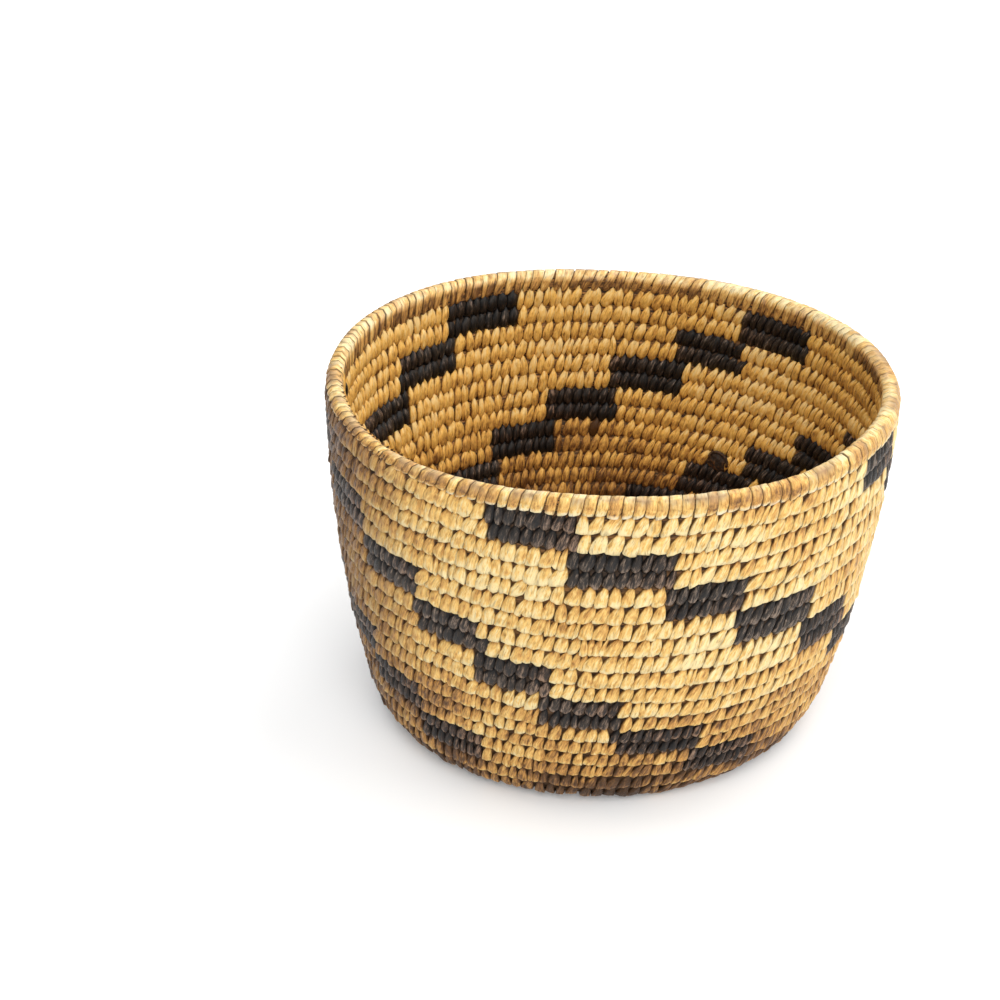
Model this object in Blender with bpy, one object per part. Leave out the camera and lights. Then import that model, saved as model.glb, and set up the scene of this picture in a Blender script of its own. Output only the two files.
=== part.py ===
"""Coiled basket with a stepped dark pattern.

The basket is one long coil. It starts at a knot in the middle of the base, spirals out flat, turns up
and climbs round the wall, and thins out along the rim. Each turn of the wall is a course of its own,
so the basket comes apart course by course. Metres, +Z up, origin under the middle of the base.
"""

import math

import bmesh
import bpy
from mathutils import Vector

MM = 0.001

# Middle of the wall as (radius, height), from the rim down and in to the middle of the base.
WALL_PROFILE = [
    (78.4 * MM, 102.3 * MM),
    (77.4 * MM, 80.8 * MM),
    (75.3 * MM, 59.4 * MM),
    (72.2 * MM, 38.2 * MM),
    (68.6 * MM, 22.6 * MM),
    (65.6 * MM, 11.0 * MM),
    (60.5 * MM, 3.4 * MM),
    (53.0 * MM, 1.8 * MM),
    (40.0 * MM, 1.8 * MM),
    (0.0 * MM, 1.8 * MM),
]
PROFILE_STEPS = 40

# The coil: its thickness through the wall, and the height of a course at the rim and at the base.
COIL_THICKNESS = 4.5 * MM
COURSE_AT_RIM = 5.63 * MM
COURSE_AT_BASE = 5.09 * MM
WALL_TURNS = 20
COIL_GAP = 0.38 * MM
END_GAP = 0.4 * MM
COIL_SIDES = 8
CORNER_SHARE = 0.42
BEND_EASE = 1.5
STEP_DEG = 12.0

# The rim course keeps a level top, this far above the middle of the profile's upper end.
RIM_CROWN = 2.2 * MM

# Hand-made shape: the rim leans, tips and is a little oval and wavy over a level base.
RIM_LEAN = 4.0 * MM
RIM_TIP = 1.1 * MM
RIM_OVAL = 1.1 * MM
OVAL_DEG = -31.0
RIM_WAVE = 0.8 * MM
WAVE_DEG = 148.0
RIM_RADIUS, RIM_HEIGHT = WALL_PROFILE[0]

# The knot that the coil starts from, and the box that cuts the base's underside flat.
KNOT_HEIGHT = 3.9 * MM
KNOT_BEVEL = 0.7 * MM
KNOT_SIDES = 24
COIL_START_RADIUS = 7.3 * MM
CUTTER_SIZE = 200.0 * MM

# The stepped pattern: five flights of dark blocks, each block two courses high.
FLIGHT_MIDDLES_DEG = (-106.0, -25.0, 46.0, 121.0, 185.0)
STEPS_PER_FLIGHT = 8
COURSES_PER_STEP = 2
STEP_TURN_DEG = 16.5
BLOCK_DEG = 18.4

LIGHT_SPLINT = (0.62, 0.42, 0.20, 1.0)
DARK_SPLINT = (0.035, 0.030, 0.028, 1.0)
RIM_SPLINT = (0.55, 0.38, 0.20, 1.0)
KNOT_SPLINT = (0.38, 0.23, 0.10, 1.0)


def smooth_points(points, steps):
    """Points along a smooth line through the given ones."""
    line = []
    for i in range(len(points) - 1):
        before = Vector(points[max(i - 1, 0)])
        start = Vector(points[i])
        end = Vector(points[i + 1])
        after = Vector(points[min(i + 2, len(points) - 1)])
        span = (end - start).length
        leave = (end - before).normalized() * span
        arrive = (after - start).normalized() * span
        for k in range(steps):
            t = k / steps
            line.append(
                start * (2 * t ** 3 - 3 * t ** 2 + 1)
                + leave * (t ** 3 - 2 * t ** 2 + t)
                + end * (3 * t ** 2 - 2 * t ** 3)
                + arrive * (t ** 3 - t ** 2)
            )
    line.append(Vector(points[-1]))
    return line


def running_lengths(line):
    """Distance of each point of a line from its first one."""
    lengths = [0.0]
    for start, end in zip(line, line[1:]):
        lengths.append(lengths[-1] + (end - start).length)
    return lengths


PROFILE = smooth_points(WALL_PROFILE, PROFILE_STEPS)
PROFILE_LENGTHS = running_lengths(PROFILE)


def profile_at(distance):
    """Radius, height and downward direction at a distance from the rim along the wall."""
    last = len(PROFILE) - 1
    i = next((k for k in range(1, last) if PROFILE_LENGTHS[k] >= distance), last)
    run = PROFILE_LENGTHS[i] - PROFILE_LENGTHS[i - 1]
    share = (distance - PROFILE_LENGTHS[i - 1]) / run
    point = PROFILE[i - 1].lerp(PROFILE[i], share)
    return point.x, point.y, (PROFILE[i] - PROFILE[i - 1]).normalized()


def distance_at(turns):
    """Distance from the rim after a number of turns of the coil, counted down from the rim."""
    wall = min(turns, WALL_TURNS)
    ease = (COURSE_AT_RIM - COURSE_AT_BASE) / (2 * WALL_TURNS)
    return COURSE_AT_RIM * wall - ease * wall * wall + COURSE_AT_BASE * (turns - wall)


def bend_at(turns):
    """How far the wall turns, in radians, across one course."""
    above = profile_at(distance_at(turns - 0.5))[2]
    below = profile_at(distance_at(turns + 0.5))[2]
    return above.angle(below)


def by_hand(point):
    """Move a point of a round, upright basket to its place in the leaning, slightly oval one."""
    rise = point.z / RIM_HEIGHT
    angle = math.atan2(point.y, point.x)
    oval = 1 + RIM_OVAL / RIM_RADIUS * rise * math.cos(2 * (angle - math.radians(OVAL_DEG)))
    wave = RIM_WAVE * math.cos(2 * (angle - math.radians(WAVE_DEG)))
    return Vector((
        point.x * oval + RIM_LEAN * rise,
        point.y * oval,
        point.z + rise * (wave - RIM_TIP * point.x / RIM_RADIUS),
    ))


def wall_point(distance, turns, lift=0.0):
    """A point of the wall's middle at a distance from the rim, lifted out of the wall's face."""
    radius, height, down = profile_at(distance)
    radius -= lift * down.y
    height += lift * down.x
    angle = math.tau * turns
    return by_hand(Vector((radius * math.cos(angle), radius * math.sin(angle), height)))


def dark_stretches():
    """The stretches of the coil that are sewn in dark splint, as pairs of turns."""
    stretches = []
    for middle in FLIGHT_MIDDLES_DEG:
        for step in range(STEPS_PER_FLIGHT):
            block = middle + step * STEP_TURN_DEG
            for course in range(COURSES_PER_STEP):
                turns = 1 + COURSES_PER_STEP * step + course + block / 360
                stretches.append((turns - BLOCK_DEG / 720, turns + BLOCK_DEG / 720))
    return stretches


DARK_STRETCHES = dark_stretches()


def is_dark(turns):
    return any(start < turns < end for start, end in DARK_STRETCHES)


def stations(start, end):
    """Turns at which the coil gets a point: a regular grid, each change of colour, and square ends."""
    step = STEP_DEG / 360
    spare = step / 5
    fixed = [start, start + spare, end - spare, end]
    fixed += [turns for stretch in DARK_STRETCHES for turns in stretch if start + spare < turns < end - spare]
    grid = [k * step for k in range(math.ceil(start / step), math.floor(end / step) + 1)]
    return sorted(fixed + [turns for turns in grid if all(abs(turns - other) > spare for other in fixed)])


def trimmed(start, end):
    """A stretch of the coil shortened at both ends, so that it clears the courses next to it."""
    spare = []
    for turns in (start, end):
        radius = profile_at(distance_at(max(turns, 0.0)))[0]
        spare.append(END_GAP / 2 / (math.tau * radius))
    return start + spare[0], end - spare[1]


def collection(name):
    group = bpy.data.collections.new(name)
    bpy.context.scene.collection.children.link(group)
    return group


def material(name, colour, roughness):
    made = bpy.data.materials.new(name)
    made.use_nodes = True
    shader = made.node_tree.nodes["Principled BSDF"]
    shader.inputs["Base Color"].default_value = colour
    shader.inputs["Roughness"].default_value = roughness
    shader.inputs["Metallic"].default_value = 0.0
    made.diffuse_color = colour
    return made


def section_points(thickness, height):
    """A coil's section: a rounded block, flat where it rests on its neighbours."""
    x = thickness / 2
    y = height / 2
    return [
        (x, -y * CORNER_SHARE), (x, y * CORNER_SHARE),
        (x * CORNER_SHARE, y), (-x * CORNER_SHARE, y),
        (-x, y * CORNER_SHARE), (-x, -y * CORNER_SHARE),
        (-x * CORNER_SHARE, -y), (x * CORNER_SHARE, -y),
    ]


def section_curve(name, thickness, height, group):
    """The closed outline that a coil is swept with."""
    outline = bpy.data.curves.new(name, "CURVE")
    outline.dimensions = "2D"
    spline = outline.splines.new("POLY")
    points = section_points(thickness, height)
    spline.points.add(len(points) - 1)
    for point, (x, y) in zip(spline.points, points):
        point.co = (x, y, 0.0, 1.0)
    spline.use_cyclic_u = True
    guide = bpy.data.objects.new(name, outline)
    guide.hide_render = True
    guide.display_type = "WIRE"
    group.objects.link(guide)
    return guide


def as_mesh(curve_object, group, materials):
    """Replace a swept curve by its mesh, with the end caps welded on."""
    name = curve_object.name
    bpy.context.view_layer.update()
    evaluated = curve_object.evaluated_get(bpy.context.evaluated_depsgraph_get())
    mesh = bpy.data.meshes.new_from_object(evaluated)
    bm = bmesh.new()
    bm.from_mesh(mesh)
    bmesh.ops.remove_doubles(bm, verts=bm.verts, dist=0.01 * MM)
    bmesh.ops.recalc_face_normals(bm, faces=bm.faces)
    bm.to_mesh(mesh)
    bm.free()
    mesh.materials.clear()
    for each in materials:
        mesh.materials.append(each)
    piece = bpy.data.objects.new(name, mesh)
    piece.matrix_world = curve_object.matrix_world
    bpy.data.objects.remove(curve_object)
    piece.name = name
    mesh.name = name
    group.objects.link(piece)
    return piece


def coil_stretch(name, start, end, group, guides, materials):
    """One stretch of the coil, swept along the wall from one turn to another."""
    start, end = trimmed(start, end)
    middle = (start + end) / 2
    height = distance_at(middle + 0.5) - distance_at(middle - 0.5) - COIL_GAP
    path = bpy.data.curves.new(name, "CURVE")
    path.dimensions = "3D"
    path.twist_mode = "Z_UP"
    path.bevel_mode = "OBJECT"
    path.bevel_object = section_curve(name + "_section", COIL_THICKNESS, height, guides)
    path.use_fill_caps = True
    spline = path.splines.new("POLY")
    turns_list = stations(start, end)
    spline.points.add(len(turns_list) - 1)
    for point, turns in zip(spline.points, turns_list):
        distance = distance_at(turns)
        down = profile_at(distance)[2]
        point.co = (*wall_point(distance, turns), 1.0)
        point.tilt = math.atan2(-down.x, -down.y)
        point.radius = 1 - BEND_EASE * CORNER_SHARE * COIL_THICKNESS / 2 * bend_at(turns) / height
    swept = bpy.data.objects.new(name, path)
    group.objects.link(swept)
    return as_mesh(swept, group, materials)


def paint_blocks(piece, start, end):
    """Give the dark blocks' faces of a course the dark splint."""
    mid_turns = (start + end) / 2
    for face in piece.data.polygons:
        angle = math.atan2(face.center.y, face.center.x - RIM_LEAN * face.center.z / RIM_HEIGHT) / math.tau
        turns = angle + round(mid_turns - angle)
        if is_dark(turns):
            face.material_index = 1


def rim_course(name, group, materials):
    """The last turn of the coil, which thins out towards its end so that the rim's top stays level."""
    start, end = trimmed(-0.5, 0.5)
    rings = []
    for turns in stations(start, end):
        lower = distance_at(turns + 0.5) - COIL_GAP / 2
        height = lower + RIM_CROWN
        centre = lower - height / 2
        ring = []
        for x, y in section_points(COIL_THICKNESS, height):
            distance = centre - y
            point = wall_point(max(distance, 0.0), turns, lift=x)
            point.z += max(-distance, 0.0)
            ring.append(point)
        rings.append(ring)
    bm = bmesh.new()
    rows = [[bm.verts.new(point) for point in ring] for ring in rings]
    for row, following in zip(rows, rows[1:]):
        for k in range(COIL_SIDES):
            bm.faces.new((row[k], row[k - 1], following[k - 1], following[k]))
    bm.faces.new(rows[0])
    bm.faces.new(rows[-1][::-1])
    bmesh.ops.recalc_face_normals(bm, faces=bm.faces)
    mesh = bpy.data.meshes.new(name)
    bm.to_mesh(mesh)
    bm.free()
    for each in materials:
        mesh.materials.append(each)
    piece = bpy.data.objects.new(name, mesh)
    group.objects.link(piece)
    return piece


def floor_cutter(group):
    """A box whose top face is the floor that the base stands on."""
    bpy.ops.mesh.primitive_cube_add(size=CUTTER_SIZE, location=(0, 0, -CUTTER_SIZE / 2))
    cutter = bpy.context.object
    cutter.name = "floor_cutter"
    cutter.hide_render = True
    cutter.display_type = "WIRE"
    for owner in list(cutter.users_collection):
        owner.objects.unlink(cutter)
    group.objects.link(cutter)
    return cutter


def cut_flat(piece, cutter):
    cut = piece.modifiers.new("worn_flat", "BOOLEAN")
    cut.operation = "DIFFERENCE"
    cut.object = cutter


def turns_at_radius(radius):
    """Turns down from the rim at which the flat base's coil has a given radius."""
    length = next(d for point, d in zip(PROFILE[::-1], PROFILE_LENGTHS[::-1]) if point.x >= radius)
    wall_length = distance_at(WALL_TURNS)
    return WALL_TURNS + (length - wall_length) / COURSE_AT_BASE


def base_start(name, end, group, materials):
    """The tight beginning of the coil: a snail-shaped button that the first open turn winds on to."""
    reach = COURSE_AT_BASE / 2 + COIL_GAP / 2
    outline = bpy.data.curves.new(name, "CURVE")
    outline.dimensions = "2D"
    outline.fill_mode = "BOTH"
    outline.extrude = KNOT_HEIGHT / 2 - KNOT_BEVEL
    outline.bevel_depth = KNOT_BEVEL
    outline.bevel_resolution = 1
    outline.offset = -KNOT_BEVEL
    spline = outline.splines.new("POLY")
    spline.points.add(KNOT_SIDES - 1)
    for k, point in enumerate(spline.points):
        turns = end - k / (KNOT_SIDES - 1)
        radius = profile_at(distance_at(turns))[0] - reach
        angle = math.tau * turns
        point.co = (radius * math.cos(angle), radius * math.sin(angle), 0.0, 1.0)
    spline.use_cyclic_u = True
    button = bpy.data.objects.new(name, outline)
    button.location.z = KNOT_HEIGHT / 2
    group.objects.link(button)
    return as_mesh(button, group, materials)


def least_gap(start, end):
    """The least gap between neighbouring turns of a stretch of the coil, measured on its points."""
    gap = math.inf
    turns = start
    while turns + 1 <= end:
        here = wall_point(distance_at(turns), turns)
        after = wall_point(distance_at(turns + 1), turns + 1)
        height = distance_at(turns + 1) - distance_at(turns) - COIL_GAP
        gap = min(gap, (after - here).length - height)
        turns += STEP_DEG / 360
    return gap


def main():
    for old in list(bpy.data.objects):
        bpy.data.objects.remove(old)
    basket = collection("papago_basket")
    guides = collection("guides")
    light = material("light_splint", LIGHT_SPLINT, 0.6)
    dark = material("dark_splint", DARK_SPLINT, 0.5)
    rim = material("rim_splint", RIM_SPLINT, 0.6)
    knot = material("knot_splint", KNOT_SPLINT, 0.65)

    cutter = floor_cutter(guides)
    base_from = WALL_TURNS - 0.5
    base_to = turns_at_radius(COIL_START_RADIUS)
    base_start("base_start", base_to, basket, [knot])
    base = coil_stretch("base_coil", base_from, base_to, basket, guides, [light])
    cut_flat(base, cutter)
    for course in range(1, WALL_TURNS):
        turns = WALL_TURNS - course
        name = f"wall_course_{course:02d}"
        piece = coil_stretch(name, turns - 0.5, turns + 0.5, basket, guides, [light, dark])
        paint_blocks(piece, turns - 0.5, turns + 0.5)
    rim_course("rim_course", basket, [rim])
    print("base coil turns", round(base_to - base_from, 2), "least gap mm", round(least_gap(base_from, base_to) / MM, 3))


main()
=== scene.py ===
"""Looks of the coiled basket: a grass coil sewn over with light and dark splint, on a pale stage."""

import math

import bmesh
import bpy
import numpy as np
from bpy.props import FloatProperty, FloatVectorProperty, PointerProperty
from mathutils import Matrix, Vector


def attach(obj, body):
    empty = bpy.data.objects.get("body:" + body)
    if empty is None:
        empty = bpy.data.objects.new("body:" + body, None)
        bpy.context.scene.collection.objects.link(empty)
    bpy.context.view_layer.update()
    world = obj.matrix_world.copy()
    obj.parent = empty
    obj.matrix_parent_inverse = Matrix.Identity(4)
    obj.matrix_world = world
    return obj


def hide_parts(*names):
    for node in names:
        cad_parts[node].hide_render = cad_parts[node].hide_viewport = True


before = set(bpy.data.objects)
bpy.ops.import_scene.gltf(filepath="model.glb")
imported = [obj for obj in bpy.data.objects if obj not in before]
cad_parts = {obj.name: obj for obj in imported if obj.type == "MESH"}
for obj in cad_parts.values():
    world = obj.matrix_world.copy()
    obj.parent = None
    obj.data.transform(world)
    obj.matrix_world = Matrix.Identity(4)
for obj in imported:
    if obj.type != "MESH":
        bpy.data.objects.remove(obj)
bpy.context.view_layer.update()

bl_info = {
    "name": "Coiled basket",
    "version": (1, 0, 0),
    "blender": (4, 5, 0),
    "location": "3D View > Sidebar > Basket",
    "description": "Sews a coiled basket over its solid courses and sets it on a plain stage",
    "category": "Add Mesh",
}

MM = 0.001

# Middle of the wall as (radius, height), from the rim down and in to the middle of the base.
WALL_PROFILE = np.array([
    (78.4, 102.3), (77.4, 80.8), (75.3, 59.4), (72.2, 38.2), (68.6, 22.6),
    (65.6, 11.0), (60.5, 3.4), (53.0, 1.8), (40.0, 1.8), (0.0, 1.8),
]) * MM
PROFILE_STEPS = 40
RIM_RADIUS, RIM_HEIGHT = WALL_PROFILE[0]

# The coil: course heights at the rim and at the base, and turns from the rim down to the base.
COURSE_AT_RIM = 5.63 * MM
COURSE_AT_BASE = 5.09 * MM
WALL_TURNS = 20
# In turns down from the rim: both ends of the rim course, where the wall's pieces part, and its end.
RIM_END = -0.5
RIM_START = 0.5
WALL_MIDDLE = 10.0
WALL_END = 19.5
# Radius at which the coil starts in the middle of the base.
COIL_START_RADIUS = 7.3 * MM
# The button in the middle of the base, the height of its middle, and how flat it is.
BUTTON_RADIUS = 3.4 * MM
BUTTON_HEIGHT = 2.0 * MM
BUTTON_FLAT = 0.56

# Hand-made shape: the rim leans, tips and is a little oval and wavy over a level base.
RIM_LEAN = 4.0 * MM
RIM_TIP = 1.1 * MM
RIM_OVAL = 1.1 * MM
OVAL_ANGLE = math.radians(-31)
RIM_WAVE = 0.8 * MM
WAVE_ANGLE = math.radians(148)
# How wavy the edges of the courses are.
EDGE_WAVE = 0.10 * MM
# Two low swells of the rim by hand: (angle, width of the swell in degrees, rise).
RIM_SWELLS = ((-97.0, 17.0, 0.7 * MM), (-50.0, 13.0, -0.8 * MM))
# Swells of the rim's crown alone, and where the coil's end thins out: (angle, width, rise or share).
CROWN_SWELLS = ((90.0, 30.0, -1.4 * MM), (-90.0, 30.0, 0.5 * MM), (-150.0, 20.0, -0.8 * MM))
RIM_TAPER = (-148.0, 21.0, 1.0)
RIM_GAP_TURNS = -38 / 360
# How the courses drift down the wall by hand, in mm, for harmonics of the angle: rows are 1, cos, sin,
# cos 2 and sin 2, columns the powers of the turns / 10.
DRIFT = np.array([
    (0.09, -0.26, 0.16), (0.66, 0.28, 0.10), (0.44, 0.57, -0.08), (-0.04, -0.23, 0.20), (0.32, -0.24, -0.25),
])
DRIFT_FADES = (17.0, 24.0)
# Local drift: (angle, turns, width in degrees, width in turns, mm).
DRIFT_PLACES = (
    (-80, 18, 36, 2.4, -2.45), (-24, 4, 24, 4.0, -1.4), (-56, 11, 24, 2.4, 1.5), (-56, 6, 24, 2.4, -0.6),
    (64, 9, 24, 4.0, 0.68), (152, 9, 24, 2.4, 0.86), (-96, 0, 40, 4.0, 0.34), (80, 3, 24, 2.4, -0.33),
    (40, 4, 24, 2.4, 0.33),
)

# The stepped pattern: five flights of dark blocks, each block two courses high.
FLIGHT_MIDDLES_DEG = (-106.0, -25.0, 46.0, 121.0, 185.0)
COURSES_PER_STEP = 2
STEP_TURN_DEG = 16.5
# Where the maker started and ended each block's two courses, in degrees from the block's even place.
BLOCK_ENDS_DEG = (
    (((-8.4, 9.6), (-7.7, 10.4)), ((-8.5, 12.5), (-8.1, 12.4)), ((-5.8, 10.8), (-5.3, 10.5)),
     ((-7.2, 12.6), (-6.4, 12.7)), ((-5.6, 11.5), (-4.8, 12.9)), ((-7.6, 9.5), (-7.4, 9.8)),
     ((-8.0, 10.2), (-8.4, 9.9)), ((-9.0, 9.4), (-8.6, 9.0))),
    (((-8.4, 7.7), (-8.1, 9.8)), ((-8.8, 9.4), (-9.1, 8.9)), ((-9.0, 9.8), (-8.6, 9.5)),
     ((-8.8, 11.8), (-8.9, 11.4)), ((-7.8, 10.3), (-8.4, 10.0)), ((-9.1, 10.1), (-8.5, 11.6)),
     ((-6.6, 9.0), (-7.4, 9.3)), ((-8.8, 9.0), (-9.0, 9.2))),
    (((-8.8, 10.7), (-8.8, 11.1)), ((-6.5, 11.1), (-7.2, 10.6)), ((-8.1, 10.2), (-8.0, 10.1)),
     ((-8.0, 8.8), (-8.6, 9.2)), ((-9.2, 7.3), (-9.4, 7.3)), ((-11.0, 7.4), (-10.2, 8.0)),
     ((-9.8, 8.4), (-9.4, 8.8)), ((-9.2, 8.8), (-9.0, 9.0))),
    (((-8.7, 9.4), (-9.0, 9.6)), ((-8.7, 8.6), (-9.0, 9.3)), ((-10.0, 10.0), (-10.0, 9.2)),
     ((-10.2, 8.2), (-10.4, 8.0)), ((-11.2, 7.0), (-11.0, 7.4)), ((-11.6, 7.2), (-11.8, 6.8)),
     ((-12.5, 5.5), (-12.3, 5.8)), ((-12.4, 6.3), (-12.0, 6.0))),
    (((-8.9, 9.6), (-9.2, 9.0)), ((-9.0, 9.8), (-8.6, 10.4)), ((-7.0, 11.1), (-6.1, 11.0)),
     ((-7.1, 9.2), (-5.8, 11.4)), ((-8.3, 8.6), (-8.6, 8.5)), ((-10.4, 6.4), (-10.6, 7.2)),
     ((-11.5, 9.3), (-10.0, 9.2)), ((-9.2, 8.6), (-9.6, 8.3))),
)

# Stitches, modelled flat: rows of (place down the course, half width in pitches, lift in mm).
OUTER_LIGHT = [
    (-0.08, 0.06, 1.40), (0.03, 0.145, 1.80), (0.14, 0.23, 2.12), (0.28, 0.33, 2.42), (0.43, 0.43, 2.66),
    (0.60, 0.50, 2.86), (0.80, 0.53, 3.04), (0.97, 0.525, 3.06), (1.09, 0.47, 2.62), (1.06, 0.42, 1.40),
]
OUTER_DARK = [
    (-0.08, 0.08, 1.45), (0.02, 0.16, 1.90), (0.15, 0.27, 2.28), (0.32, 0.40, 2.62), (0.52, 0.50, 2.88),
    (0.72, 0.54, 3.03), (0.90, 0.52, 2.98), (1.04, 0.43, 2.66), (1.12, 0.30, 2.10), (1.09, 0.24, 1.40),
]
INNER_LIGHT = [
    (-0.20, 0.05, 1.90), (-0.10, 0.16, 2.22), (0.03, 0.29, 2.50), (0.20, 0.42, 2.76), (0.40, 0.51, 2.90),
    (0.60, 0.535, 2.90), (0.80, 0.49, 2.74), (0.97, 0.38, 2.46), (1.09, 0.24, 2.12), (1.16, 0.09, 1.60),
]
INNER_DARK = [
    (-0.16, 0.10, 1.60), (-0.05, 0.23, 2.06), (0.09, 0.39, 2.46), (0.27, 0.51, 2.76), (0.47, 0.56, 2.92),
    (0.66, 0.555, 2.88), (0.84, 0.49, 2.66), (1.00, 0.34, 2.28), (1.13, 0.16, 1.60),
]
# The rim's wraps run from their outer end over the top to the inner one.
RIM_WRAP = [
    (0.00, 0.34, -1.00), (0.02, 0.40, 0.02), (0.06, 0.45, 0.26), (0.14, 0.49, 0.20), (0.28, 0.505, 0.10),
    (0.42, 0.505, 0.06), (0.54, 0.505, 0.06), (0.66, 0.50, 0.10), (0.77, 0.48, 0.16), (0.86, 0.42, 0.20),
    (0.93, 0.31, 0.12), (0.98, 0.17, -0.20), (1.00, 0.06, -1.00),
]
FLAT_SPLINT = ((-1.0, -1.0), (-0.90, -0.16), (0.0, 0.0), (0.90, -0.16), (1.0, -1.0))
RIM_SPLINT = ((-1.0, -0.75), (-0.93, -0.07), (0.0, 0.0), (0.93, -0.07), (1.0, -0.75))
ROUND_SPLINT = ((-1.0, -1.1), (-0.84, -0.32), (0.0, 0.0), (0.84, -0.32), (1.0, -1.1))
FULL_SPLINT = (
    (-1.0, -1.3), (-0.85, -0.62), (-0.50, -0.20), (0.0, 0.0), (0.50, -0.20), (0.85, -0.62), (1.0, -1.3),
)

# Stitches are wider near the rim than low down: shares of the pitch at two shares of the wall.
PITCH_PLACES = (0.3, 0.9)
PITCH_SHARES = (1.12, 0.98)
# Spread of the stitches' widths, their least and greatest width, and how wide the halves of a split one are.
STITCH_SPREAD = 0.13
STITCH_LIMITS = (0.72, 1.35)
SPLIT_WIDTH = 1.16
# Runs of one pitch per turn, and the least radius that a pitch is worked out for.
RUNS_PER_TURN = 12
LEAST_RADIUS = 2.0 * MM

# How much the stitches differ by hand: shares of the pitch or the course, and lifts in mm.
STITCH_HAND = {
    "width": 0.04, "length": 0.02, "ends": 0.022, "skew": 0.09, "tip": 0.09, "lean": 0.10,
    "waist": 0.07, "bow": 0.08, "place": 0.03, "curl": 0.22, "lift": 0.12, "tilt": 0.20,
}
RIM_HAND = {
    "width": 0.05, "lean": 0.12, "place": 0.03, "outer end": 0.25, "skew": 0.4, "inner end": 0.3,
    "lift": 0.05,
}

# How rough the stitches are: along the course's height, more so at the outer lower edge, across, and
# in lift, in mm.
ROUGH_ALONG = 0.009
ROUGH_LOWER_EDGE = 0.022
ROUGH_ACROSS = 0.012
ROUGH_LIFT = 0.035
# Dark stitches are more even, and inside they are a little narrower.
DARK_UNEVEN = 0.8
DARK_INNER_SHARE = 0.95
# How often the tone of the splint changes along the coil, and how many such tones are drawn.
TONES_PER_TURN = 14
TONE_COUNT = 2000

# Outer stitches are narrower low down, their tops more so, and their tops are broad on the left.
LOW_NARROW = 0.10
LOW_TAPER = 0.38
LEFT_BROAD = 0.40

# Flaws inside: a hole that was stopped with a dark knot, and one stitch of brown splint.
HOLE_TURNS = 10.162
HOLE_SIZE = 6.4 * MM
HOLE_DEPTH = 2.5 * MM
HOLE_GAP = 0.45 * HOLE_SIZE
BROWN_STITCH_TURNS = 9.254
BROWN_STITCH_TONE = 3.0

# How far the lower right corner of an outer stitch curls out, in mm.
CORNER_CURL = 0.22
# How far the same corner is rounded off, as a share of the course.
CORNER_ROUND = 0.10

# Below this lift, in mm, a stitch lies in a groove, which the finishes darken with painted shade, and on
# light splint with dirt as well.
SHADED_LIFT = 2.35

# The rim: half its thickness, how far its top stands over the end of the wall, and the height and the
# share of a wrap that bend over the top.
RIM_HALF = 2.45 * MM
RIM_CROWN = 2.2 * MM
RIM_TOP = 2.1 * MM
RIM_BEND = 0.42
# How much thinner and lower the rim gets over its tapered end, and how far inside the wraps its grass lies.
TAPER_SIDE = 0.30
TAPER_TOP = 0.45
RIM_INSET = 0.55 * MM
# The wraps lean more inside than outside, and reach this far below the rim course on both sides, in mm.
WRAP_LEANS = (0.55, 1.7)
WRAP_REACH = (1.1, 0.9)
# How much narrower the wrap at the rim's gap is.
GAP_NARROW = 0.22

# The grass bundle: its least height over the floor, its sides, and its rings per turn of the coil.
BUNDLE_CLEAR = 0.3 * MM
BUNDLE_SIDES = 12
BUNDLE_STEPS = 60
# How far the bundle's courses reach into each other, and how square its section is.
BUNDLE_OVERLAP = 0.35 * MM
BUNDLE_SQUARE = 0.4
# How much painted shade darkens the bundle under dark splint and on its outside, and how much of the coil the
# hole takes.
GAP_SHADE_UNDER_DARK = 0.92
GAP_SHADE_OUTSIDE = 0.45
HOLE_REACH = 0.006

# Where the left of the outside browns, partly with age and partly as painted shade, and where painted shade
# darkens it, in metres from the middle, and the tint of that painted shade.
BROWNED_AND_SHADED_SIDE = (-0.044, -0.078)
PAINTED_SHADE_SIDE = (-0.046, -0.076)
PAINTED_SHADE_TINT = (0.40, 0.37, 0.36, 1.0)

# Painted highlights: near-white glints on the rim.
PAINTED_GLINT_TINT = (1.0, 0.90, 0.70, 1.0)

# Light of the surround low on the left and on the side that it is brightest.
WORLD_DIM = 0.04
WORLD_BRIGHT = 0.80
WORLD_BRIGHT_SIDE = (1.0, 0.0, 0.9)

# Soft lights, all turned towards one point: (name, place, size, power, colour).
LIGHT_AIM = (0.0, 0.0, 0.05)
LIGHTS = (
    ("front_light", (0.08, -1.0, 1.05), 0.9, 10.8, (1.0, 0.99, 0.97)),
    ("right_light", (1.0, -0.1, 1.05), 1.2, 6.0, (1.0, 0.99, 0.97)),
    ("back_light", (0.7, 0.7, 1.05), 1.0, 6.5, (1.0, 1.0, 1.0)),
    ("left_light", (-0.45, 0.1, 1.4), 0.8, 5.4, (0.98, 0.99, 1.0)),
)

CAMERA_PLACE = (0.0, -0.6140, 0.3917)
CAMERA_LENS = 85.449
CAMERA_YAW = math.radians(-2.6313)
CAMERA_DOWN = math.radians(28.1802)
CAMERA_ROLL = math.radians(-0.7758)


def length_prop(name, description, default, low=1.0 * MM):
    return FloatProperty(
        name=name, description=description, default=default, min=low, unit="LENGTH", subtype="DISTANCE")


def colour_prop(name, description, default):
    return FloatVectorProperty(
        name=name, description=description, default=(*default, 1.0), min=0.0, max=1.0, size=4,
        subtype="COLOR")


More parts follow.
